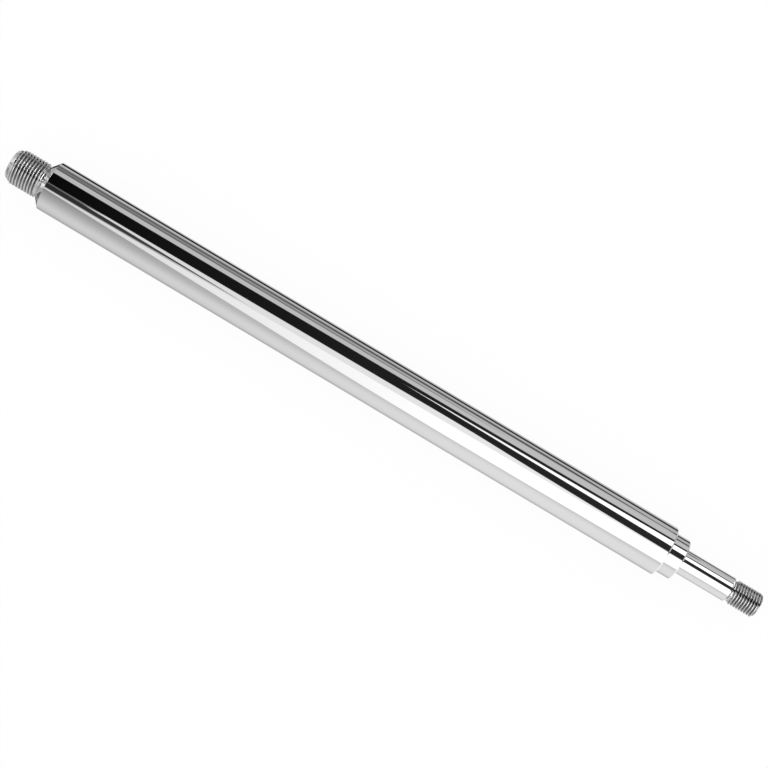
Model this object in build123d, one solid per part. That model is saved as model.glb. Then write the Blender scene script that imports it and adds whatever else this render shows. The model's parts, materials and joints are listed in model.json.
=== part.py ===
from build123d import *
import os
from math import cos, radians, tan

# Shaft of a shock absorber: one steel bar, turned down at both ends, ground and hard chromed.
# It lies along X, in millimetres. The origin is on its axis, where the end stud's thread stops.
# From there the stud points to -X, and the cone shoulder, the body, the collar, the piston
# spigot and the nut thread follow one another to +X.
# Both threads are fine ones, so each stands here as a plain cylinder at its crest diameter.

# Body: the 7/8 in bar that runs through the seal and the bearing
BODY_DIAMETER = 22.225
BODY_LENGTH = 300.0
BODY_EDGE_BREAK = 0.6

# Stud for the end eye: 5/8-18 UNF, with a long tapered lead
STUD_DIAMETER = 15.8
STUD_PITCH = 25.4 / 18
STUD_LENGTH = 14.5
STUD_LEAD_LENGTH = 3.1
STUD_LEAD_ANGLE = 30.0
STUD_END_RADIUS = 0.8

# Cone shoulder between the stud and the body, with the narrow relief at its foot
RELIEF_WIDTH = 0.7
RELIEF_RADIUS = 0.8
SHOULDER_ANGLE = 50.0
SHOULDER_EDGE_RADIUS = 0.3

# Collar: the 23/32 in step that carries the stop washer
COLLAR_DIAMETER = 18.256
COLLAR_LENGTH = 7.1
COLLAR_EDGE_BREAK = 0.6

# Spigot: the journal that the piston sits on, rounded down to the neck behind the nut thread
SPIGOT_DIAMETER = 11.0
SPIGOT_LENGTH = 24.0
SPIGOT_END_ANGLE = 45.0
SPIGOT_END_RADIUS = 2.4
NECK_WIDTH = 0.6
NECK_RADIUS = 0.2

# Nut thread: 7/16-20 UNF, its crests just under the spigot, so that the piston passes over
NUT_THREAD_CLEARANCE = 0.01
NUT_THREAD_PITCH = 25.4 / 20
NUT_THREAD_LENGTH = 12.5
NUT_THREAD_START_ANGLE = 45.0
NUT_LEAD_LENGTH = 1.0
NUT_LEAD_ANGLE = 45.0
NUT_END_RADIUS = 0.3

# Depth of a unified outside thread, as a share of its pitch
THREAD_DEPTH_SHARE = 0.6134

# The most of a straight stretch that a rounded corner may take up: the large corner on it, and
# the small one at its other end
LARGE_CORNER_SHARE = 0.9
SMALL_CORNER_SHARE = 0.09

# Radii of the turned steps
BODY_RADIUS = BODY_DIAMETER / 2
STUD_RADIUS = STUD_DIAMETER / 2
STUD_ROOT_RADIUS = STUD_RADIUS - THREAD_DEPTH_SHARE * STUD_PITCH
COLLAR_RADIUS = COLLAR_DIAMETER / 2
SPIGOT_RADIUS = SPIGOT_DIAMETER / 2
NUT_THREAD_RADIUS = SPIGOT_RADIUS - NUT_THREAD_CLEARANCE
NUT_ROOT_RADIUS = NUT_THREAD_RADIUS - THREAD_DEPTH_SHARE * NUT_THREAD_PITCH


def slope(angle):
    """Rise for each millimetre along the axis, of a cone at angle degrees to it."""
    return tan(radians(angle))


# Places along X, each worked out from the one before it
THREAD_STOP = 0.0
STUD_END = THREAD_STOP - STUD_LENGTH
CONE_START = THREAD_STOP + RELIEF_WIDTH
BODY_START = CONE_START + (BODY_RADIUS - STUD_ROOT_RADIUS) / slope(SHOULDER_ANGLE)
BODY_END = BODY_START + BODY_LENGTH
COLLAR_END = BODY_END + COLLAR_LENGTH
SPIGOT_END = COLLAR_END + SPIGOT_LENGTH
NECK_START = SPIGOT_END + (SPIGOT_RADIUS - NUT_ROOT_RADIUS) / slope(SPIGOT_END_ANGLE)
NECK_END = NECK_START + NECK_WIDTH
NUT_THREAD_START = NECK_END + (NUT_THREAD_RADIUS - NUT_ROOT_RADIUS) / slope(NUT_THREAD_START_ANGLE)
TIP_END = NECK_END + NUT_THREAD_LENGTH


def corner(radius, turn, room):
    """A corner radius, kept small enough for the stretches that meet there.

    Where the outline turns by turn degrees, the corner takes radius * tan(turn / 2) off the
    stretch on each side, and that may be no more than room.
    """
    return min(radius, room / slope(turn / 2))


def stud_stations():
    """The end stud, from the centre of its end face to its last thread, as (x, radius, corner)."""
    end_radius = STUD_RADIUS - STUD_LEAD_LENGTH * slope(STUD_LEAD_ANGLE)
    room = LARGE_CORNER_SHARE * min(end_radius, STUD_LEAD_LENGTH)
    return [
        (STUD_END, 0.0, 0.0),
        (STUD_END, end_radius, corner(STUD_END_RADIUS, 90.0 - STUD_LEAD_ANGLE, room)),
        (STUD_END + STUD_LEAD_LENGTH, STUD_RADIUS, 0.0),
        (THREAD_STOP, STUD_RADIUS, 0.0),
        (THREAD_STOP, STUD_ROOT_RADIUS, 0.0),
    ]


def body_stations():
    """The cone shoulder and the body, from the relief's root to the body's square end."""
    cone_length = BODY_START - CONE_START
    root_room = LARGE_CORNER_SHARE * min(RELIEF_WIDTH, cone_length)
    edge_room = SMALL_CORNER_SHARE * cone_length
    return [
        (CONE_START, STUD_ROOT_RADIUS, corner(RELIEF_RADIUS, SHOULDER_ANGLE, root_room)),
        (BODY_START, BODY_RADIUS, corner(SHOULDER_EDGE_RADIUS, SHOULDER_ANGLE, edge_room)),
        (BODY_END - BODY_EDGE_BREAK, BODY_RADIUS, 0.0),
        (BODY_END, BODY_RADIUS - BODY_EDGE_BREAK, 0.0),
    ]


def collar_stations():
    """The collar, from the body's end face to its own."""
    return [
        (BODY_END, COLLAR_RADIUS, 0.0),
        (COLLAR_END - COLLAR_EDGE_BREAK, COLLAR_RADIUS, 0.0),
        (COLLAR_END, COLLAR_RADIUS - COLLAR_EDGE_BREAK, 0.0),
    ]


def spigot_stations():
    """The spigot, from the collar's end face to the neck that its rounded end runs down to."""
    run_down = (NECK_START - SPIGOT_END) / cos(radians(SPIGOT_END_ANGLE))
    end_room = LARGE_CORNER_SHARE * run_down
    neck_room = min(SMALL_CORNER_SHARE * run_down, LARGE_CORNER_SHARE * NECK_WIDTH)
    return [
        (COLLAR_END, SPIGOT_RADIUS, 0.0),
        (SPIGOT_END, SPIGOT_RADIUS, corner(SPIGOT_END_RADIUS, SPIGOT_END_ANGLE, end_room)),
        (NECK_START, NUT_ROOT_RADIUS, corner(NECK_RADIUS, SPIGOT_END_ANGLE, neck_room)),
    ]


def nut_thread_stations():
    """The nut thread, from the neck to the centre of the tip's end face."""
    tip_radius = NUT_THREAD_RADIUS - NUT_LEAD_LENGTH * slope(NUT_LEAD_ANGLE)
    room = LARGE_CORNER_SHARE * min(tip_radius, NUT_LEAD_LENGTH)
    return [
        (NECK_END, NUT_ROOT_RADIUS, 0.0),
        (NUT_THREAD_START, NUT_THREAD_RADIUS, 0.0),
        (TIP_END - NUT_LEAD_LENGTH, NUT_THREAD_RADIUS, 0.0),
        (TIP_END, tip_radius, corner(NUT_END_RADIUS, 90.0 - NUT_LEAD_ANGLE, room)),
        (TIP_END, 0.0, 0.0),
    ]


def shaft():
    """The whole bar: the turned outline, closed along the axis and spun round it."""
    stations = stud_stations() + body_stations() + collar_stations()
    stations += spigot_stations() + nut_thread_stations()
    points = [(x, radius) for x, radius, _ in stations]
    corners = [rounding for _, _, rounding in stations]
    outline = FilletPolyline(points, radius=corners[1:-1])
    centre_line = Line(points[-1], points[0])
    return revolve(make_face(outline.edges() + centre_line.edges()), Axis.X)


os.makedirs("parts", exist_ok=True)
export_step(shaft(), "parts/shaft.step")
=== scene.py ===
"""Looks of a shock absorber shaft: one steel bar, turned, threaded at both ends and hard chromed.

The bar lies level along X, in metres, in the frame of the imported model. Its origin is where the end
stud's thread stops. The whole bar is one surface: an outline carried round the axis, with a helix
cut into it at each thread. It has four finishes: chrome on ground, on turned and on rolled steel,
and the bare steel of the nut thread, which is cut after plating.
"""

import json
import logging
import math
from dataclasses import dataclass, field
from enum import Enum
from typing import Any, Sequence

import bpy
import numpy as np
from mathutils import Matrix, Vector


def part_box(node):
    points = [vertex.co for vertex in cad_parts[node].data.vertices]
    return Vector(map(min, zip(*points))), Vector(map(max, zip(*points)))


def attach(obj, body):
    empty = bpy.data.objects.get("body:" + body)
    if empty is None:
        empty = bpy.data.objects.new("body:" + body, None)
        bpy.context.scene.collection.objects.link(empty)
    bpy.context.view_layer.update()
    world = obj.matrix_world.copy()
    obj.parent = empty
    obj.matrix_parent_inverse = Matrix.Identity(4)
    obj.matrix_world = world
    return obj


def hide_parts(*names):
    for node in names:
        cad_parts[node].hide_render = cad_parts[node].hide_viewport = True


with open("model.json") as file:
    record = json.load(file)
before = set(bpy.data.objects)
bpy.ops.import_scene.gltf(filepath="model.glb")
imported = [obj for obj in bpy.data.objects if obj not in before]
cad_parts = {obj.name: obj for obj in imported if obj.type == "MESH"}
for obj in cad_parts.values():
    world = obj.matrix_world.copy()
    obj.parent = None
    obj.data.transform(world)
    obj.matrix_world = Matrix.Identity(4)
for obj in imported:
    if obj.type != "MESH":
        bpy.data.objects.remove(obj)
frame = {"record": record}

log = logging.getLogger("shock_shaft")

MM = 0.001
NODE = "shaft"
BODY = "root"
# The vertex attribute that says how deep in a thread's groove a place lies
GROOVE_DEPTH = "groove_depth"
WHITE = (1.0, 1.0, 1.0, 1.0)

# Steps round the axis, shared by all rings of the bar
COLUMNS = 160
# Steps in each small rounding of the outline, and the most of a straight stretch beside it that
# the rounding may take up
CORNER_STEPS = 5
CORNER_ROOM_SHARE = 0.45
# A ring this far beyond each rounding, in mm, keeps its shading off the long straight beside it
GUARD_MM = 0.04
# The longest straight stretch between two rings, in mm
LONGEST_STRETCH_MM = 25.0
# Where the surface turns by more than this, in degrees, it is shaded as a sharp edge
SHARP_EDGE_ANGLE = 40.0

# Pitches of the two threads, 5/8-18 UNF and 7/16-20 UNF, in mm
STUD_PITCH_MM = 25.4 / 18
NUT_PITCH_MM = 25.4 / 20
# Tilt of a unified thread's flanks to the bar's axis, in degrees
FLANK_TILT = 60.0
# Thread sizes as shares of the pitch: the depth of a unified outside thread, the flat that stays
# on its crests when it is cut, and the rounding of its roots
THREAD_DEPTH_SHARE = 0.6134
CREST_FLAT_SHARE = 0.125
ROOT_ROUNDING_SHARE = 0.0176
# Where the blank is thinner, as on a tapered lead, the groove under it is this share of its full
# depth, from this many mm beyond the helix's start
LEAD_CUT_SHARE = 0.6
LEAD_FADE_MM = 0.8
# Painted shade darkens a thread's colour between these shares of the groove's depth
GROOVE_SHADE_FROM, GROOVE_SHADE_TO = 0.1, 0.6


class Cut(Enum):
    """How the steel was shaped, which sets the finish that a surface takes.

    All but the last are chromed afterwards. The last is cut into the finished bar.
    """

    GROUND = 0
    TURNED = 1
    ROLLED = 2
    BARE = 3


def srgb(code: str) -> tuple[float, float, float, float]:
    """Linear colour of an sRGB hex code.

    Args:
        code: six hex digits after a hash sign.

    Returns:
        Linear red, green and blue with an alpha of one.
    """
    channels = [int(code[i : i + 2], 16) / 255 for i in (1, 3, 5)]
    linear = [c / 12.92 if c <= 0.04045 else ((c + 0.055) / 1.055) ** 2.4 for c in channels]
    return (*linear, 1.0)


def add_node(
    tree: bpy.types.NodeTree, kind: str, inputs: dict[Any, Any], **settings: Any
) -> bpy.types.Node:
    """Adds one node, sets its options, and fills or links its inputs.

    Args:
        tree: the node tree that it goes into.
        kind: the node's Blender type name.
        inputs: an input's name or number, with its value or the socket to link from.
        settings: the node's own options.

    Returns:
        The new node.
    """
    node = tree.nodes.new(kind)
    for name, value in settings.items():
        setattr(node, name, value)
    for key, value in inputs.items():
        if isinstance(value, bpy.types.NodeSocket):
            tree.links.new(value, node.inputs[key])
        else:
            node.inputs[key].default_value = value
    return node


@dataclass(frozen=True)
class Station:
    """A corner of the bar's outline, and the cut of the stretch that leads up to it."""

    x: float
    radius: float
    rounding: float
    cut: Cut


def outline_of(stations: Sequence[Station]) -> tuple[np.ndarray, np.ndarray]:
    """The bar's outline as points, with every corner rounded and long stretches divided.

    A corner where the outline turns by an angle T is an arc of radius q, which starts q tan(T / 2)
    before the corner and ends as far after it. Its points lie on the circle in even steps of T.

    Args:
        stations: the corners in order, the first and the last on the axis.

    Returns:
        Points (x, radius) in mm, and the cut of the stretch that ends at each point.
    """
    corners = np.array([(s.x, s.radius) for s in stations])
    points = [corners[0]]
    cuts = [stations[0].cut.value]
    for before, here, after, station, following in zip(
        corners, corners[1:], corners[2:], stations[1:], stations[2:]
    ):
        arrive, leave = here - before, after - here
        arrive_length, leave_length = np.linalg.norm(arrive), np.linalg.norm(leave)
        arrive, leave = arrive / arrive_length, leave / leave_length
        turn = math.atan2(arrive[0] * leave[1] - arrive[1] * leave[0], float(arrive @ leave))
        room = CORNER_ROOM_SHARE * min(arrive_length, leave_length) - GUARD_MM
        radius = min(station.rounding, max(room, 0.0) / math.tan(abs(turn) / 2))
        if radius <= 0.0:
            points.append(here)
            cuts.append(station.cut.value)
            continue
        reach = radius * math.tan(abs(turn) / 2)
        side = np.array([-arrive[1], arrive[0]]) * math.copysign(1.0, turn)
        centre = here - arrive * reach + side * radius
        steps = np.linspace(0.0, turn, CORNER_STEPS + 1)[:, None]
        arc = centre - radius * (side * np.cos(steps) - arrive * np.sin(abs(steps)))
        points.append(here - arrive * (reach + GUARD_MM))
        points.extend(arc)
        points.append(here + leave * (reach + GUARD_MM))
        cuts.extend([station.cut.value] * (CORNER_STEPS + 2))
        cuts.append(following.cut.value)
    points.append(corners[-1])
    cuts.append(stations[-1].cut.value)
    rows, row_cuts = [points[0]], [cuts[0]]
    for start, end, cut in zip(points, points[1:], cuts[1:]):
        pieces = max(1, math.ceil(float(np.linalg.norm(end - start)) / LONGEST_STRETCH_MM))
        rows.extend(start + (end - start) * step / pieces for step in range(1, pieces + 1))
        row_cuts.extend([cut] * pieces)
    return np.array(rows), np.array(row_cuts)


@dataclass(frozen=True)
class Thread:
    """A right-hand unified thread, with round roots, and crests that are flat if it was cut.

    Its groove passes groove_x on the +Y side. Each arc of its form, over a crest or through a
    root, has arc_steps steps. A row stands flank_guard of a flank from each of the flank's ends.
    """

    pitch: float
    crest_radius: float
    depth: float
    groove_x: float
    start_x: float
    stop_x: float
    cut: Cut
    arc_steps: int = 8
    flank_guard: float = 0.02

    @property
    def root_radius(self) -> float:
        """Radius at the bottom of the groove."""
        return self.crest_radius - self.depth

    def form(self) -> tuple[np.ndarray, np.ndarray]:
        """One pitch of the thread's outline, from one crest to the next.

        The crest is an arc of radius c on each side, with a flat between them on a cut thread. The
        root is an arc of radius q. The arcs meet the flanks at 60 degrees of tilt. A half pitch is
        half the flat, then 0.866 (c + q) across both arcs, and (depth - (c + q) / 2) / 1.732 along
        the flank, which gives c.

        Returns:
            Places along the pitch as shares of it, and the radius at each, in mm.
        """
        flank = math.radians(FLANK_TILT)
        rise = math.tan(flank)
        flat = CREST_FLAT_SHARE * self.pitch / 2 if self.cut is Cut.BARE else 0.0
        both = (self.pitch / 2 - flat - self.depth / rise) / (math.sin(flank) - 0.5 / rise)
        root = ROOT_ROUNDING_SHARE * self.pitch
        crest = both - root
        half = np.linspace(0.0, flank, self.arc_steps // 2 + 1)
        crest_x = flat + crest * np.sin(half)
        crest_r = self.crest_radius - crest * (1.0 - np.cos(half))
        if flat > 0.0:
            crest_x = np.append(0.0, crest_x)
            crest_r = np.append(self.crest_radius, crest_r)
        root_x = self.pitch / 2 - root * np.sin(half[::-1])
        root_r = self.root_radius + root * (1.0 - np.cos(half[::-1]))
        share = np.array([self.flank_guard, 1.0 - self.flank_guard])
        flank_x = crest_x[-1] + (root_x[0] - crest_x[-1]) * share
        flank_r = crest_r[-1] + (root_r[0] - crest_r[-1]) * share
        x = np.concatenate([crest_x, flank_x, root_x])
        r = np.concatenate([crest_r, flank_r, root_r])
        x = np.concatenate([x, self.pitch - x[-2:0:-1]])
        r = np.concatenate([r, r[-2:0:-1]])
        return x / self.pitch, r


@dataclass
class Surface:
    """A closed surface in the making.

    It keeps its vertices, how deep in a groove each one lies, its triangles and their cuts.
    """

    places: list[np.ndarray] = field(default_factory=list)
    corners: list[np.ndarray] = field(default_factory=list)
    cuts: list[np.ndarray] = field(default_factory=list)
    depths: list[np.ndarray] = field(default_factory=list)
    count: int = 0

    def add_vertices(
        self, x: np.ndarray, radius: np.ndarray, column: np.ndarray, depth: np.ndarray | float = 0.0
    ) -> np.ndarray:
        """Adds vertices at x, radius cos u, radius sin u, where u is the column's angle.

        Args:
            x: places along the axis, in mm.
            radius: distances from it, in mm.
            column: steps round it, counted from +Y towards +Z.
            depth: how deep in a groove each vertex lies, from 0 on the crests to 1 at the roots.

        Returns:
            The number of each new vertex, in the shape of the arguments.
        """
        turn = 2.0 * np.pi * column / COLUMNS
        parts = np.broadcast_arrays(x, radius * np.cos(turn), radius * np.sin(turn))
        place = np.stack(parts, axis=-1)
        self.places.append(place.reshape(-1, 3) * MM)
        self.depths.append(np.broadcast_to(depth, place.shape[:-1]).ravel())
        numbers = self.count + np.arange(place[..., 0].size).reshape(place.shape[:-1])
        self.count += numbers.size
        return numbers

    def add_ring(self, x: float, radius: float) -> np.ndarray:
        """Adds one ring of vertices round the axis and returns their numbers."""
        columns = np.arange(COLUMNS)
        return self.add_vertices(np.full(COLUMNS, x), np.full(COLUMNS, radius), columns)

    def add_grid(self, numbers: np.ndarray, cut: int) -> None:
        """Covers a grid of vertex numbers with triangles that face outwards.

        Cells run along X by rows and round the axis by columns. A triangle whose corners are not
        all different is left out, so rows may run together.

        Args:
            numbers: vertex numbers, with the last column already joined to the first.
            cut: the number of the finish that the triangles take.
        """
        a, b = numbers[:-1, :-1], numbers[:-1, 1:]
        c, d = numbers[1:, 1:], numbers[1:, :-1]
        halves = [np.stack(half, axis=-1).reshape(-1, 3) for half in ((a, b, c), (a, c, d))]
        both = np.concatenate(halves)
        keep = (both[:, 0] != both[:, 1]) & (both[:, 1] != both[:, 2]) & (both[:, 2] != both[:, 0])
        self.corners.append(both[keep])
        self.cuts.append(np.full(int(keep.sum()), cut))

    def join_rings(self, first: np.ndarray, second: np.ndarray, cut: int) -> None:
        """Covers the band between two rings, the second one further along the outline."""
        self.add_grid(np.stack([np.append(first, first[0]), np.append(second, second[0])]), cut)

    def close(self, ring: np.ndarray, x: float, cut: int, leaving: bool) -> None:
        """Closes the surface on the axis with a fan of triangles.

        Args:
            ring: the vertex numbers of the ring round the pole.
            x: the pole's place along the axis, in mm.
            cut: the number of the finish.
            leaving: true at the outline's first pole, false at its last.
        """
        pole = self.add_vertices(np.array([x]), np.array([0.0]), np.array([0]))[0]
        poles = np.full(COLUMNS + 1, pole)
        closed = np.append(ring, ring[0])
        self.add_grid(np.stack([poles, closed] if leaving else [closed, poles]), cut)

    def add_thread(
        self, thread: Thread, outline: np.ndarray, first: np.ndarray, last: np.ndarray
    ) -> None:
        """Covers a threaded stretch between two plain rings.

        Each row of the grid follows one line of the thread's form round the helix, at
        x = groove + pitch (turn + share of the form + 1/2 + column / columns), and has the form's
        radius. Where the blank is thinner, as on a lead, it has the blank's, less a share of the
        form's depth that fades out at the stretch's start. The rows run past the stretch by half a
        pitch or more at both ends. Places outside it belong to the ring at its end, so the helix
        is trimmed square there.

        Args:
            thread: the thread's sizes and place.
            outline: the bar's outline, which is the blank that the thread is shaped on.
            first: vertex numbers of the ring at the stretch's start.
            last: vertex numbers of the ring at its stop.
        """
        shares, radii = thread.form()
        turns = math.ceil((thread.stop_x - thread.start_x) / thread.pitch) + 3
        first_turn = math.floor((thread.start_x - thread.groove_x) / thread.pitch) - 2
        row = np.arange(turns * len(shares) + 1)
        phase = first_turn + row // len(shares) + shares[row % len(shares)] + 0.5
        column = np.arange(COLUMNS + 1)
        x = thread.groove_x + thread.pitch * (phase[:, None] + column / COLUMNS)
        blank = np.interp(x, outline[:, 0], outline[:, 1])
        sunk = thread.crest_radius - radii[row % len(radii)][:, None]
        grip = np.clip((x - thread.start_x) / LEAD_FADE_MM, 0.0, 1.0)
        radius = np.minimum(thread.crest_radius - sunk, blank - LEAD_CUT_SHARE * grip * sunk)
        whole = column < COLUMNS
        depth = np.broadcast_to(sunk / thread.depth, x.shape)
        numbers = np.empty(x.shape, dtype=int)
        numbers[:, whole] = self.add_vertices(
            x[:, whole], radius[:, whole], column[None, whole], depth[:, whole]
        )
        numbers[: -len(shares), -1] = numbers[len(shares) :, 0]
        numbers[-len(shares) :, -1] = last[0]
        ring_column = column % COLUMNS
        early = x < thread.start_x + GUARD_MM
        late = x > thread.stop_x - GUARD_MM
        numbers = np.where(early, first[ring_column][None, :], numbers)
        numbers = np.where(late, last[ring_column][None, :], numbers)
        self.add_grid(numbers, thread.cut.value)

    def mesh(self, name: str) -> bpy.types.Mesh:
        """Makes a Blender mesh, without the vertices that no triangle uses.

        The mesh takes one material for each cut, in the order of the cuts' numbers.
        """
        places, corners = np.concatenate(self.places), np.concatenate(self.corners)
        used, corners = np.unique(corners, return_inverse=True)
        corners = corners.reshape(-1, 3)
        mesh = bpy.data.meshes.new(name)
        mesh.from_pydata(places[used], [], corners)
        mesh.polygons.foreach_set("material_index", np.concatenate(self.cuts).astype(np.int32))
        depths = mesh.attributes.new(GROOVE_DEPTH, "FLOAT", "POINT")
        depths.data.foreach_set("value", np.concatenate(self.depths)[used].astype(np.float32))
        mesh.validate()
        mesh.shade_smooth()
        mesh.set_sharp_from_angle(angle=math.radians(SHARP_EDGE_ANGLE))
        mesh.update()
        return mesh


@dataclass(frozen=True)
class Metal:
    """Hard chrome plate or bare steel, with the marks of the tool that shaped the steel.

    Polished plate mirrors its surroundings at about 0.8 of their brightness, with no hue, and
    bare steel at about 0.6. The marks run round the bar. They barely show by themselves, but they
    blur what the metal mirrors and make the edges of a reflection tremble along the bar. A thread
    has painted shade between its flanks: its colour darkens towards the roots, where
    groove_shade_colour says how much.
    """

    name: str
    colour: str
    roughness: float
    roughness_spread: float
    mark_spacing_mm: float
    mark_run_mm: float
    mark_height_um: float
    groove_shade_colour: str = ""

    def material(self) -> bpy.types.Material:
        """Makes the node material.

        The marks are noise on the place along the outline, X plus the distance from the axis, and
        on Y and Z stretched far more, so that each mark runs a long way round the bar.

        Returns:
            The finished material.
        """
        material = bpy.data.materials.new(self.name)
        material.use_nodes = True
        tree = material.node_tree
        tree.nodes.clear()
        place = add_node(tree, "ShaderNodeTexCoord", {}).outputs["Object"]
        apart = add_node(tree, "ShaderNodeSeparateXYZ", {0: place}).outputs
        across = {"Y": apart["Y"], "Z": apart["Z"]}
        flat = add_node(tree, "ShaderNodeCombineXYZ", across).outputs[0]
        off_axis = add_node(tree, "ShaderNodeVectorMath", {0: flat}, operation="LENGTH")
        way = {0: apart["X"], 1: off_axis.outputs["Value"]}
        along = add_node(tree, "ShaderNodeMath", way, operation="ADD").outputs[0]
        marks = add_node(tree, "ShaderNodeCombineXYZ", {"X": along, **across}).outputs[0]
        fine, coarse = 1 / (self.mark_spacing_mm * MM), 1 / (self.mark_run_mm * MM)
        scale = (fine, coarse, coarse)
        stretched = add_node(tree, "ShaderNodeMapping", {"Vector": marks, "Scale": scale})
        lay = add_node(
            tree,
            "ShaderNodeTexNoise",
            {"Vector": stretched.outputs[0], "Scale": 1.0, "Detail": 3.0, "Roughness": 0.55},
        ).outputs["Fac"]
        blur = add_node(
            tree,
            "ShaderNodeMapRange",
            {
                "Value": lay,
                "From Min": 0.3,
                "From Max": 0.7,
                "To Min": self.roughness - self.roughness_spread,
                "To Max": self.roughness + self.roughness_spread,
            },
        ).outputs[0]
        bump = add_node(
            tree,
            "ShaderNodeBump",
            {"Height": lay, "Strength": 1.0, "Distance": self.mark_height_um * MM * MM},
        ).outputs[0]
        colour = srgb(self.colour)
        # Painted shade: the colour darkens between the flanks, towards the thread's roots
        if self.groove_shade_colour:
            depth = add_node(tree, "ShaderNodeAttribute", {}, attribute_name=GROOVE_DEPTH)
            reach = {"Value": depth.outputs["Fac"], "From Min": GROOVE_SHADE_FROM, "From Max": GROOVE_SHADE_TO}
            share = add_node(tree, "ShaderNodeMapRange", reach).outputs[0]
            mixed = {0: share, 6: colour, 7: srgb(self.groove_shade_colour)}
            colour = add_node(tree, "ShaderNodeMix", mixed, data_type="RGBA").outputs[2]
        metal = add_node(
            tree,
            "ShaderNodeBsdfPrincipled",
            {"Base Color": colour, "Metallic": 1.0, "Roughness": blur, "Normal": bump},
        )
        add_node(tree, "ShaderNodeOutputMaterial", {"Surface": metal.outputs[0]})
        return material


# Centreless ground, plated and polished to about 0.1 um: a mirror whose marks are too fine to
# show, so they are drawn as wide as a pixel of the picture
GROUND_CHROME = Metal("ground_hard_chrome", "#E7E7E7", 0.035, 0.012, 0.5, 9.0, 0.05)
# Faced and chamfered on the lathe at a feed of about 0.1 mm, then plated: duller, with finer rings
TURNED_CHROME = Metal("turned_hard_chrome", "#E4E4E4", 0.09, 0.03, 0.2, 20.0, 0.25)
# Rolled between dies, which burnish the flanks, then plated: smooth, and a little darker than the
# body, with painted shade that darkens its colour between the flanks
ROLLED_CHROME = Metal("rolled_thread_chrome", "#DEDEDE", 0.05, 0.015, 0.25, 6.0, 0.03, "#AEAEAE")
# Cut after plating, to hold its size: bare steel, a darker mirror than chrome, with painted shade
# that darkens its colour between the flanks
CUT_STEEL = Metal("cut_steel_thread", "#C8C8C8", 0.05, 0.015, 0.25, 6.0, 0.03, "#A0A0A0")

FINISHES = {
    Cut.GROUND: GROUND_CHROME,
    Cut.TURNED: TURNED_CHROME,
    Cut.ROLLED: ROLLED_CHROME,
    Cut.BARE: CUT_STEEL,
}


@dataclass(frozen=True)
class EndStud:
    """The stud that screws into the end eye: 5/8-18 UNF with a long tapered lead.

    Its helix starts lead_reach before the place where the lead is as thin as the thread's root.
    """

    end_x: float
    radius: float
    lead_length: float = 3.1
    lead_angle: float = 30.0
    lead_reach: float = 0.7
    end_rounding: float = 0.8
    run_out_length: float = 0.08
    groove_x: float = -11.2

    @property
    def root_radius(self) -> float:
        """Radius at the bottom of the thread and of the relief behind it."""
        return self.thread().root_radius

    def thread(self) -> Thread:
        """The helix, from where the lead is thinner than the root to where the relief starts."""
        depth = THREAD_DEPTH_SHARE * STUD_PITCH_MM
        lead_end = self.end_x + self.lead_length
        start = lead_end - depth / math.tan(math.radians(self.lead_angle)) - self.lead_reach
        return Thread(STUD_PITCH_MM, self.radius, depth, self.groove_x, start, 0.0, Cut.ROLLED)

    def stations(self) -> list[Station]:
        """Outline from the centre of the end face to the foot of the thread."""
        end_radius = self.radius - self.lead_length * math.tan(math.radians(self.lead_angle))
        return [
            Station(self.end_x, 0.0, 0.0, Cut.TURNED),
            Station(self.end_x, end_radius, self.end_rounding, Cut.TURNED),
            Station(self.end_x + self.lead_length, self.radius, 0.0, Cut.TURNED),
            Station(-self.run_out_length, self.radius, 0.0, Cut.ROLLED),
            Station(0.0, self.root_radius, 0.0, Cut.ROLLED),
        ]


@dataclass(frozen=True)
class ConeShoulder:
    """The relief at the stud's foot, and the cone that the end eye is tightened against."""

    root_radius: float
    body_radius: float
    relief_width: float = 0.7
    relief_rounding: float = 0.8
    angle: float = 50.0
    edge_rounding: float = 0.12

    @property
    def end_x(self) -> float:
        """Where the cone meets the body."""
        rise = self.body_radius - self.root_radius
        return self.relief_width + rise / math.tan(math.radians(self.angle))

    def stations(self) -> list[Station]:
        """Outline from the relief's root to the body's edge."""
        return [
            Station(self.relief_width, self.root_radius, self.relief_rounding, Cut.TURNED),
            Station(self.end_x, self.body_radius, self.edge_rounding, Cut.TURNED),
        ]


@dataclass(frozen=True)
class Journal:
    """A ground cylinder that ends in a broken edge and a square shoulder."""

    end_x: float
    radius: float
    edge_break: float = 0.6
    edge_rounding: float = 0.08

    def stations(self) -> list[Station]:
        """Outline from the end of the ground cylinder to the outer edge of the shoulder."""
        return [
            Station(self.end_x - self.edge_break, self.radius, self.edge_rounding, Cut.GROUND),
            Station(self.end_x, self.radius - self.edge_break, self.edge_rounding, Cut.TURNED),
        ]

    def foot(self, radius: float) -> Station:
        """The inner corner of the shoulder, where the next slimmer journal starts."""
        return Station(self.end_x, radius, self.edge_rounding, Cut.TURNED)


@dataclass(frozen=True)
class PistonSpigot:
    """The journal that the piston sits on, rounded down to the neck behind the nut thread."""

    start_x: float
    radius: float
    neck_radius: float
    length: float = 24.0
    end_angle: float = 45.0
    end_rounding: float = 2.4
    neck_width: float = 0.6
    neck_rounding: float = 0.2

    @property
    def neck_end_x(self) -> float:
        """Where the neck ends and the nut thread starts to rise."""
        fall = (self.radius - self.neck_radius) / math.tan(math.radians(self.end_angle))
        return self.start_x + self.length + fall + self.neck_width

    def stations(self) -> list[Station]:
        """Outline from the spigot's rounded end to the neck."""
        neck_start = self.neck_end_x - self.neck_width
        return [
            Station(self.start_x + self.length, self.radius, self.end_rounding, Cut.GROUND),
            Station(neck_start, self.neck_radius, self.neck_rounding, Cut.TURNED),
            Station(self.neck_end_x, self.neck_radius, 0.0, Cut.TURNED),
        ]


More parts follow.
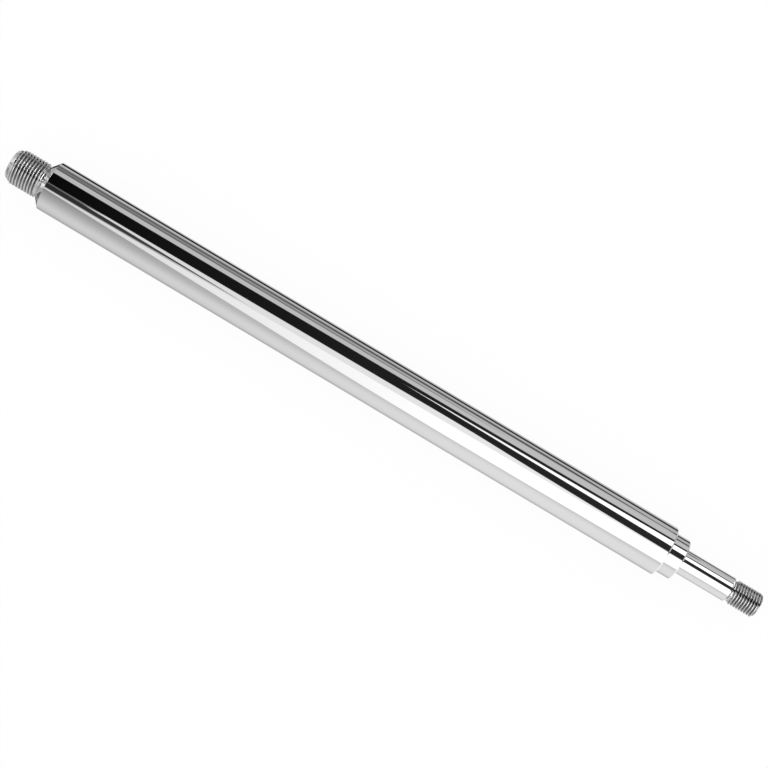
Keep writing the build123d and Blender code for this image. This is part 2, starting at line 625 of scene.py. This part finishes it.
@dataclass(frozen=True)
class NutThread:
    """The thread for the piston's lock nut: 7/16-20 UNF with a chamfered tip.

    Its helix starts neck_reach inside the neck, and stops tip_reach beyond the place where the
    chamfer is as thin as the thread's root.
    """

    end_x: float
    radius: float
    start_x: float
    start_angle: float = 45.0
    lead_length: float = 1.0
    lead_angle: float = 45.0
    tip_rounding: float = 0.3
    neck_reach: float = 0.45
    tip_reach: float = 0.05
    groove_x: float = 337.87
    depth: float = THREAD_DEPTH_SHARE * NUT_PITCH_MM

    def thread(self) -> Thread:
        """The helix, from inside the neck to where the tip is thinner than the root."""
        start = self.start_x - self.neck_reach
        thin = self.depth / math.tan(math.radians(self.lead_angle))
        stop = self.end_x - self.lead_length + thin + self.tip_reach
        return Thread(NUT_PITCH_MM, self.radius, self.depth, self.groove_x, start, stop, Cut.BARE)

    def stations(self) -> list[Station]:
        """Outline from the rise behind the neck to the centre of the tip."""
        rise = self.depth / math.tan(math.radians(self.start_angle))
        tip_radius = self.radius - self.lead_length * math.tan(math.radians(self.lead_angle))
        return [
            Station(self.start_x + rise, self.radius, 0.0, Cut.BARE),
            Station(self.end_x - self.lead_length, self.radius, 0.0, Cut.BARE),
            Station(self.end_x, tip_radius, self.tip_rounding, Cut.BARE),
            Station(self.end_x, 0.0, 0.0, Cut.BARE),
        ]


@dataclass(frozen=True)
class ShockShaft:
    """The whole bar, put together from its turned features."""

    stud: EndStud
    shoulder: ConeShoulder
    body: Journal
    collar: Journal
    spigot: PistonSpigot
    nut_thread: NutThread

    def stations(self) -> list[Station]:
        """The bar's outline from the stud's end face to the tip."""
        return [
            *self.stud.stations(),
            *self.shoulder.stations(),
            *self.body.stations(),
            self.body.foot(self.collar.radius),
            *self.collar.stations(),
            self.collar.foot(self.spigot.radius),
            *self.spigot.stations(),
            *self.nut_thread.stations(),
        ]

    def surface(self) -> Surface:
        """Carries the outline round the axis, with each threaded stretch as a helix of its own."""
        outline, cuts = outline_of(self.stations())
        along, radii = outline.T
        surface = Surface()
        threads = [self.stud.thread(), self.nut_thread.thread()]
        keep = np.ones(len(outline), dtype=bool)
        for thread in threads:
            keep &= (along < thread.start_x - GUARD_MM) | (along > thread.stop_x + GUARD_MM)
        rows = outline[1:-1][keep[1:-1]]
        row_cuts = cuts[1:-1][keep[1:-1]]
        rings = [surface.add_ring(x, radius) for x, radius in rows]
        ends = [x for thread in threads for x in (thread.start_x, thread.stop_x)]
        end_rings = [surface.add_ring(x, np.interp(x, along, radii)) for x in ends]
        surface.close(rings[0], float(outline[0, 0]), Cut.TURNED.value, leaving=True)
        spans = zip(rows[:, 0], rows[1:, 0], rings, rings[1:], row_cuts[1:])
        for x, following_x, ring, following, cut in spans:
            crossed = [
                number
                for number, thread in enumerate(threads)
                if x <= thread.start_x and thread.stop_x <= following_x
            ]
            if not crossed:
                surface.join_rings(ring, following, int(cut))
                continue
            first, last = end_rings[2 * crossed[0]], end_rings[2 * crossed[0] + 1]
            surface.join_rings(ring, first, Cut.TURNED.value)
            surface.add_thread(threads[crossed[0]], outline, first, last)
            surface.join_rings(last, following, int(cut))
        surface.close(rings[-1], float(outline[-1, 0]), int(cuts[-1]), leaving=False)
        return surface

    def build(self) -> bpy.types.Object:
        """Makes the bar's object, dresses it, and puts it in place of the CAD node."""
        mesh = self.surface().mesh("chromed_shaft")
        for cut in Cut:
            mesh.materials.append(FINISHES[cut].material())
        piece = bpy.data.objects.new("chromed_shaft", mesh)
        bpy.context.scene.collection.objects.link(piece)
        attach(piece, BODY)
        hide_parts(NODE)
        return piece


def shaft_from_frame() -> ShockShaft:
    """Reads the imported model's sizes and lays out the bar's features from them.

    Returns:
        The shaft, with its journals as long and as thick as the record says.
    """
    low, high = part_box(NODE)
    mounts = {mount["name"]: mount for mount in frame["record"]["mounts"]}
    radius = {name: mounts[name]["dims"].get("r_mm", 0.0) for name in mounts}
    face = {name: mounts[name]["pos_m"][0] / MM for name in mounts}
    stud = EndStud(low.x / MM, radius["end_stud"])
    nut_root = radius["nut_thread"] - THREAD_DEPTH_SHARE * NUT_PITCH_MM
    spigot = PistonSpigot(face["collar_shoulder"], radius["piston_spigot"], nut_root)
    return ShockShaft(
        stud,
        ConeShoulder(stud.root_radius, radius["body_journal"]),
        Journal(face["body_shoulder"], radius["body_journal"]),
        Journal(face["collar_shoulder"], radius["collar_journal"]),
        spigot,
        NutThread(high.x / MM, radius["nut_thread"], spigot.neck_end_x),
    )


# Where the cards start and stop along the bar's axis, in mm
CARDS_START_MM = -135.0
CARDS_STOP_MM = 470.0
# Between these places the sweep behind the cards changes from the stud's to the tip's
SWEEP_CHANGE_MM = (-75.0, 260.0)


@dataclass(frozen=True)
class Curve:
    """A smooth curve through a few chosen points, for a value between two limits."""

    points: tuple[tuple[float, float], ...]
    across: tuple[float, float]
    up: tuple[float, float]

    def at(self, tree: bpy.types.NodeTree, value: bpy.types.NodeSocket) -> bpy.types.NodeSocket:
        """The curve's height at a value, as a chain of nodes.

        Args:
            tree: the node tree that it goes into.
            value: where along the curve.

        Returns:
            The socket that carries the height.
        """
        (left, right), (low, high) = self.across, self.up
        reach = {"Value": value, "From Min": left, "From Max": right}
        share = add_node(tree, "ShaderNodeMapRange", reach)
        curve = add_node(tree, "ShaderNodeFloatCurve", {"Value": share.outputs[0]})
        line = curve.mapping.curves[0]
        for number, (place, height) in enumerate(self.points):
            spot = ((place - left) / (right - left), (height - low) / (high - low))
            if number < 2:
                line.points[number].location = spot
            else:
                line.points.new(*spot)
        for point in line.points:
            point.handle_type = "AUTO_CLAMPED"
        curve.mapping.update()
        return add_node(
            tree, "ShaderNodeMapRange", {"Value": curve.outputs[0], "To Min": low, "To Max": high}
        ).outputs[0]


def edge(*points: tuple[float, float]) -> Curve:
    """The edge of a card: angles round the bar, in degrees, at some places along it, in mm."""
    return Curve(points, (CARDS_START_MM, CARDS_STOP_MM), (-180.0, 180.0))


def straight(left: float, right: float) -> Curve:
    """An edge that drifts evenly from one angle at the stud's end to another at the tip's."""
    return edge((CARDS_START_MM, left), (CARDS_STOP_MM, right))


def shade(*points: tuple[float, float]) -> Curve:
    """The brightness of a panel that goes all the way round, at some angles round the bar."""
    return Curve(points, (-180.0, 180.0), (0.0, 4.0))


@dataclass(frozen=True)
class Card:
    """A softbox or a flag beside the bar: a strip between two edges.

    Its brightness may differ between the stud's end and the tip's.
    """

    lower: Curve
    upper: Curve
    left_level: float
    right_level: float
    softness: float = 1.5

    def over(
        self,
        tree: bpy.types.NodeTree,
        angle: bpy.types.NodeSocket,
        along: bpy.types.NodeSocket,
        under: bpy.types.NodeSocket,
    ) -> bpy.types.NodeSocket:
        """Lays the card over what is behind it.

        Args:
            tree: the tunnel's node tree.
            angle: the angle round the bar, in degrees.
            along: the place along the bar's axis, in mm.
            under: the brightness behind the card.

        Returns:
            The brightness with the card in place.
        """
        sides = []
        for side, first, last in ((self.lower, 0.0, 1.0), (self.upper, 1.0, 0.0)):
            middle = side.at(tree, along)
            both = {0: middle, 1: self.softness}
            start = add_node(tree, "ShaderNodeMath", both, operation="SUBTRACT")
            stop = add_node(tree, "ShaderNodeMath", both, operation="ADD")
            ramp = {
                "Value": angle,
                "From Min": start.outputs[0],
                "From Max": stop.outputs[0],
                "To Min": first,
                "To Max": last,
            }
            side_mask = add_node(tree, "ShaderNodeMapRange", ramp, interpolation_type="SMOOTHSTEP")
            sides.append(side_mask.outputs[0])
        mask = add_node(tree, "ShaderNodeMath", {0: sides[0], 1: sides[1]}, operation="MULTIPLY")
        drift = {
            "Value": along,
            "From Min": CARDS_START_MM,
            "From Max": CARDS_STOP_MM,
            "To Min": self.left_level,
            "To Max": self.right_level,
        }
        level = add_node(tree, "ShaderNodeMapRange", drift).outputs[0]
        mixed = {"Factor": mask.outputs[0], "A": under, "B": level}
        return add_node(tree, "ShaderNodeMix", mixed).outputs[0]


# The sweep behind the cards, at the stud's end and at the tip's
STUD_SWEEP = shade(
    (-180.0, 0.42), (-150.0, 0.45), (-125.0, 0.66), (-95.0, 0.745), (-72.0, 0.63), (-50.0, 0.47),
    (-33.0, 0.36), (-10.0, 0.2), (10.0, 0.15), (50.0, 0.3), (62.0, 0.6), (80.0, 0.6), (97.0, 0.2),
    (117.0, 0.58), (150.0, 0.6), (180.0, 0.42),
)
TIP_SWEEP = shade(
    (-180.0, 0.5), (-150.0, 0.56), (-125.0, 0.85), (-90.0, 0.9), (-72.0, 0.87), (-55.0, 0.74),
    (-40.0, 0.75), (0.0, 0.9), (60.0, 0.63), (80.0, 0.63), (117.0, 0.54), (150.0, 0.6),
    (180.0, 0.5),
)

# The cards above and beside the bar, from the furthest back to the nearest. Where a card ends
# along the bar, its edges cross.
CARDS = (
    # thin flag low on the +Y side
    Card(straight(128.5, 122.0), straight(149.0, 138.0), 0.0, 0.03, 1.0),
    # grey panel on the +Y side, down to a thin line at the tip's end
    Card(
        edge(
            (-135.0, 98.0), (290.0, 97.0), (366.0, 96.8), (373.0, 93.0), (388.0, 93.0),
            (398.0, 101.0), (470.0, 101.0),
        ),
        edge(
            (-135.0, 111.0), (290.0, 110.0), (366.0, 101.8), (373.0, 103.5), (388.0, 103.5),
            (398.0, 95.0), (470.0, 95.0),
        ),
        0.16,
        0.08,
        2.5,
    ),
    # thin grey line above it
    Card(
        edge((-135.0, 80.0), (190.0, 82.0), (325.0, 88.0), (470.0, 88.0)),
        edge((-135.0, 91.0), (190.0, 88.0), (325.0, 84.0), (470.0, 84.0)),
        0.11,
        0.4,
        2.0,
    ),
    # pale strip below the flags, from the stud's end on
    Card(
        edge((-135.0, 8.0), (-60.0, 6.0), (5.0, -12.0), (470.0, -12.0)),
        edge((-135.0, 2.0), (-60.0, 2.0), (5.0, 25.0), (470.0, 25.0)),
        0.8,
        1.1,
    ),
    # black flag
    Card(
        edge(
            (-135.0, 7.5), (-75.0, 8.5), (26.0, 11.2), (166.0, 15.6), (215.0, 17.5),
            (279.0, 11.3), (370.0, 5.5), (470.0, 1.0),
        ),
        edge((-135.0, 57.0), (165.0, 61.5), (290.0, 64.0), (470.0, 69.0)),
        0.001,
        0.03,
        1.0,
    ),
    # white strip between the flag and its upper part, from the middle on
    Card(
        edge(
            (-135.0, 47.0), (165.0, 47.0), (185.0, 45.0), (240.0, 42.0), (370.0, 34.0),
            (470.0, 28.0),
        ),
        edge(
            (-135.0, 44.0), (165.0, 44.0), (185.0, 46.0), (240.0, 49.0), (290.0, 51.0),
            (370.0, 56.0), (470.0, 61.5),
        ),
        0.0,
        2.0,
        1.0,
    ),
    # second flag, under the first at the stud's end
    Card(
        edge((-135.0, -16.5), (-75.0, -15.0), (100.0, -7.0), (470.0, -7.0)),
        edge((-135.0, 5.0), (-75.0, 4.0), (45.0, -4.5), (100.0, -10.0), (470.0, -10.0)),
        0.01,
        0.2,
    ),
    # main softbox
    Card(
        edge(
            (-135.0, -16.0), (-75.0, -23.0), (45.0, -40.0), (165.0, -54.5), (215.0, -56.5),
            (370.0, -51.5), (470.0, -49.0),
        ),
        edge(
            (-135.0, -16.0), (-75.0, -17.0), (45.0, -13.0), (165.0, -7.0), (240.0, -3.5),
            (370.0, 0.5), (470.0, 3.0),
        ),
        0.7,
        1.7,
    ),
)


@dataclass(frozen=True)
class EndPanel:
    """A panel beyond the cards at one end of the bar, faded in along the axis."""

    levels: Curve
    start_mm: float
    full_mm: float

    def over(
        self,
        tree: bpy.types.NodeTree,
        angle: bpy.types.NodeSocket,
        along: bpy.types.NodeSocket,
        under: bpy.types.NodeSocket,
    ) -> bpy.types.NodeSocket:
        """Lays the panel over what is behind it, with arguments as in Card."""
        reach = {"Value": along, "From Min": self.start_mm, "From Max": self.full_mm}
        mask = add_node(tree, "ShaderNodeMapRange", reach, interpolation_type="SMOOTHSTEP")
        mixed = {"Factor": mask.outputs[0], "A": under, "B": self.levels.at(tree, angle)}
        return add_node(tree, "ShaderNodeMix", mixed).outputs[0]


# What stands beyond the cards, nearest first. At the stud's end: a white card, a gap, and a paler
# wall. At the tip's end: a white card, a gap, and a card that is black above and white below.
STUD_END_CARD = shade(
    (-180.0, 0.4), (-172.0, 0.15), (-163.0, 0.2), (-155.0, 0.65), (-125.0, 0.75), (-90.0, 0.65),
    (-65.0, 0.6), (-30.0, 0.6), (-8.0, 0.15), (1.0, 0.3), (6.0, 3.95), (48.0, 3.95), (58.0, 0.4),
    (80.0, 0.25), (103.0, 0.25), (120.0, 0.7), (155.0, 0.7), (163.0, 0.02), (175.0, 0.02),
    (180.0, 0.4),
)
STUD_END_GAP = shade(
    (-180.0, 0.5), (-168.0, 0.5), (-160.0, 0.15), (-152.0, 0.15), (-142.0, 0.5), (-110.0, 0.4),
    (-75.0, 0.2), (-36.0, 0.04), (-12.0, 0.0), (52.0, 0.0), (62.0, 0.2), (120.0, 0.5),
    (180.0, 0.5),
)
STUD_END_WALL = shade(
    (-180.0, 0.65), (-168.0, 0.65), (-160.0, 0.1), (-152.0, 0.1), (-142.0, 0.65), (-125.0, 0.7),
    (-90.0, 0.65), (-65.0, 0.6), (-30.0, 0.75), (-12.0, 0.3), (-2.0, 0.4), (8.0, 0.95),
    (50.0, 0.95), (62.0, 0.75), (103.0, 0.65), (120.0, 0.7), (180.0, 0.65),
)
TIP_END_CARD = shade(
    (-180.0, 1.0), (-150.0, 1.1), (-115.0, 0.7), (-90.0, 0.8), (-65.0, 1.1), (-50.0, 2.8),
    (-16.0, 2.8), (-6.0, 0.9), (3.0, 0.5), (12.0, 0.08), (28.0, 0.08), (38.0, 0.7), (55.0, 0.35),
    (75.0, 1.6), (95.0, 1.6), (115.0, 0.45), (180.0, 1.0),
)
TIP_END_GAP = shade(
    (-180.0, 1.0), (-150.0, 1.2), (-120.0, 0.5), (-80.0, 0.2), (-60.0, 0.0), (36.0, 0.0),
    (60.0, 0.25), (85.0, 1.0), (120.0, 0.3), (180.0, 1.0),
)
TIP_END_WALL = shade(
    (-180.0, 1.1), (-150.0, 1.25), (-100.0, 1.0), (-65.0, 1.1), (-50.0, 2.0), (-12.0, 2.0),
    (-2.0, 0.01), (36.0, 0.01), (55.0, 0.35), (75.0, 1.3), (95.0, 1.3), (115.0, 0.45),
    (180.0, 1.1),
)
PLAIN_WALL = shade((-180.0, 0.8), (180.0, 0.8))
END_PANELS = (
    EndPanel(STUD_END_CARD, -116.0, -126.0),
    EndPanel(STUD_END_GAP, -335.0, -350.0),
    EndPanel(STUD_END_WALL, -545.0, -565.0),
    EndPanel(TIP_END_CARD, 457.0, 468.0),
    EndPanel(TIP_END_GAP, 660.0, 680.0),
    EndPanel(TIP_END_WALL, 930.0, 950.0),
    EndPanel(PLAIN_WALL, -2000.0, -3000.0),
    EndPanel(PLAIN_WALL, 2200.0, 3200.0),
)


@dataclass(frozen=True)
class LightTunnel:
    """The cards and flags round the bar, drawn on a wide tunnel that only the metal mirrors."""

    radius: float = 0.4
    reach: float = 5.0
    columns: int = 96

    def material(self) -> bpy.types.Material:
        """Glows as bright as the card at each place, and gives no light of its own to the floor."""
        material = bpy.data.materials.new("cards_and_flags")
        material.use_nodes = True
        material.cycles.emission_sampling = "NONE"
        tree = material.node_tree
        tree.nodes.clear()
        place = add_node(tree, "ShaderNodeTexCoord", {}).outputs["Object"]
        apart = add_node(tree, "ShaderNodeSeparateXYZ", {0: place}).outputs
        across = {0: apart["Y"], 1: apart["Z"]}
        turn = add_node(tree, "ShaderNodeMath", across, operation="ARCTAN2").outputs[0]
        angle = add_node(tree, "ShaderNodeMath", {0: turn}, operation="DEGREES").outputs[0]
        metres = {0: apart["X"], 1: MM}
        along = add_node(tree, "ShaderNodeMath", metres, operation="DIVIDE").outputs[0]
        change_start, change_stop = SWEEP_CHANGE_MM
        drift = {"Value": along, "From Min": change_start, "From Max": change_stop}
        share = add_node(tree, "ShaderNodeMapRange", drift).outputs[0]
        sweeps = {"Factor": share, "A": STUD_SWEEP.at(tree, angle), "B": TIP_SWEEP.at(tree, angle)}
        brightness = add_node(tree, "ShaderNodeMix", sweeps).outputs[0]
        for part in (*CARDS, *END_PANELS):
            brightness = part.over(tree, angle, along, brightness)
        glow = add_node(tree, "ShaderNodeEmission", {"Color": WHITE, "Strength": brightness})
        add_node(tree, "ShaderNodeOutputMaterial", {"Surface": glow.outputs[0]})
        return material

    def build(self) -> bpy.types.Object:
        """Makes the tunnel: a circle of the given radius round the bar's axis, carried along it."""
        turn = np.linspace(0.0, 2.0 * np.pi, self.columns, endpoint=False)
        circle = [np.zeros_like(turn), self.radius * np.sin(turn), self.radius * np.cos(turn)]
        ring = np.stack(circle, axis=-1)
        ends = [ring + (x, 0.0, 0.0) for x in (-self.reach, self.reach)]
        here = np.arange(self.columns)
        following = (here + 1) % self.columns
        faces = np.stack([here, following, following + self.columns, here + self.columns], axis=-1)
        mesh = bpy.data.meshes.new("light_tunnel")
        mesh.from_pydata(np.concatenate(ends), [], faces)
        mesh.materials.append(self.material())
        tunnel = bpy.data.objects.new("light_tunnel", mesh)
        bpy.context.scene.collection.objects.link(tunnel)
        tunnel.visible_camera = False
        tunnel.visible_diffuse = False
        tunnel.visible_shadow = False
        tunnel.visible_transmission = False
        tunnel.visible_volume_scatter = False
        return tunnel


@dataclass(frozen=True)
class Studio:
    """The pale floor, the light and the camera round the bar.

    The camera sees the floor as mostly its own glow, and otherwise lit and shadowed. The metal
    mirrors the world at a level of its own, where it looks past the tunnel's open ends.
    """

    bar_radius: float
    centre_x: float = 0.16674
    centre_y: float = 0.0001
    focal_length: float = 90.0
    distance: float = 0.8054
    bar_tilt: float = 30.754
    floor_size: float = 30.0
    floor_paint: float = 0.97
    floor_glow_share: float = 0.93
    world_level: float = 1.03
    mirrored_world_level: float = 0.8

    def camera(self) -> bpy.types.Object:
        """Looks straight down on the bar, turned so that the bar falls towards the lower right."""
        data = bpy.data.cameras.new("camera")
        data.lens = self.focal_length
        data.sensor_width = 36.0
        data.clip_start = 0.01
        data.clip_end = 100.0
        camera = bpy.data.objects.new("camera", data)
        bpy.context.scene.collection.objects.link(camera)
        camera.location = (self.centre_x, self.centre_y, self.distance)
        camera.rotation_euler = (0.0, 0.0, math.radians(self.bar_tilt))
        bpy.context.scene.camera = camera
        return camera

    def floor(self) -> bpy.types.Object:
        """A white floor under the bar, which takes a soft shadow. The metal doesn't mirror it."""
        half = self.floor_size / 2
        mesh = bpy.data.meshes.new("floor")
        corners = [(-half, -half), (half, -half), (half, half), (-half, half)]
        places = [(x + self.centre_x, y, -self.bar_radius) for x, y in corners]
        mesh.from_pydata(places, [], [(0, 1, 2, 3)])
        floor = bpy.data.objects.new("floor", mesh)
        bpy.context.scene.collection.objects.link(floor)
        material = bpy.data.materials.new("white_sweep")
        material.use_nodes = True
        tree = material.node_tree
        tree.nodes.clear()
        rays = add_node(tree, "ShaderNodeLightPath", {}).outputs
        paint = (self.floor_paint, self.floor_paint, self.floor_paint, 1.0)
        matt = add_node(tree, "ShaderNodeBsdfDiffuse", {"Color": paint}).outputs[0]
        glow = add_node(tree, "ShaderNodeEmission", {"Color": WHITE, "Strength": 1.0}).outputs[0]
        share = {0: rays["Is Camera Ray"], 1: self.floor_glow_share}
        lift = add_node(tree, "ShaderNodeMath", share, operation="MULTIPLY").outputs[0]
        seen = add_node(tree, "ShaderNodeMixShader", {0: lift, 1: matt, 2: glow}).outputs[0]
        clear = add_node(tree, "ShaderNodeBsdfTransparent", {}).outputs[0]
        sides = {0: rays["Is Glossy Ray"], 1: seen, 2: clear}
        shown = add_node(tree, "ShaderNodeMixShader", sides).outputs[0]
        add_node(tree, "ShaderNodeOutputMaterial", {"Surface": shown})
        mesh.materials.append(material)
        return floor

    def world(self) -> bpy.types.World:
        """Even white light from all round, a little less bright where the metal mirrors it."""
        world = bpy.data.worlds.new("studio")
        world.use_nodes = True
        bpy.context.scene.world = world
        tree = world.node_tree
        tree.nodes.clear()
        rays = add_node(tree, "ShaderNodeLightPath", {}).outputs
        mixed = {
            "Factor": rays["Is Glossy Ray"],
            "A": self.world_level,
            "B": self.mirrored_world_level,
        }
        level = add_node(tree, "ShaderNodeMix", mixed).outputs[0]
        light = add_node(tree, "ShaderNodeBackground", {"Color": WHITE, "Strength": level})
        add_node(tree, "ShaderNodeOutputWorld", {"Surface": light.outputs[0]})
        return world


def main() -> None:
    """Builds the stage and the bar, and logs the bar's vertex and face counts."""
    logging.basicConfig(level=logging.INFO, format="%(name)s: %(message)s")
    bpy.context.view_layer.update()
    bpy.context.scene.view_settings.view_transform = "Standard"
    _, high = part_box(NODE)
    studio = Studio(bar_radius=float(high.y))
    studio.camera()
    studio.floor()
    studio.world()
    LightTunnel().build()
    log.info("stage ready: camera, floor, world and %d cards", len(CARDS))
    piece = shaft_from_frame().build()
    mesh = piece.data
    log.info("%s: %d vertices, %d faces", piece.name, len(mesh.vertices), len(mesh.polygons))
    bpy.context.view_layer.update()


if __name__ == "__main__":
    main()
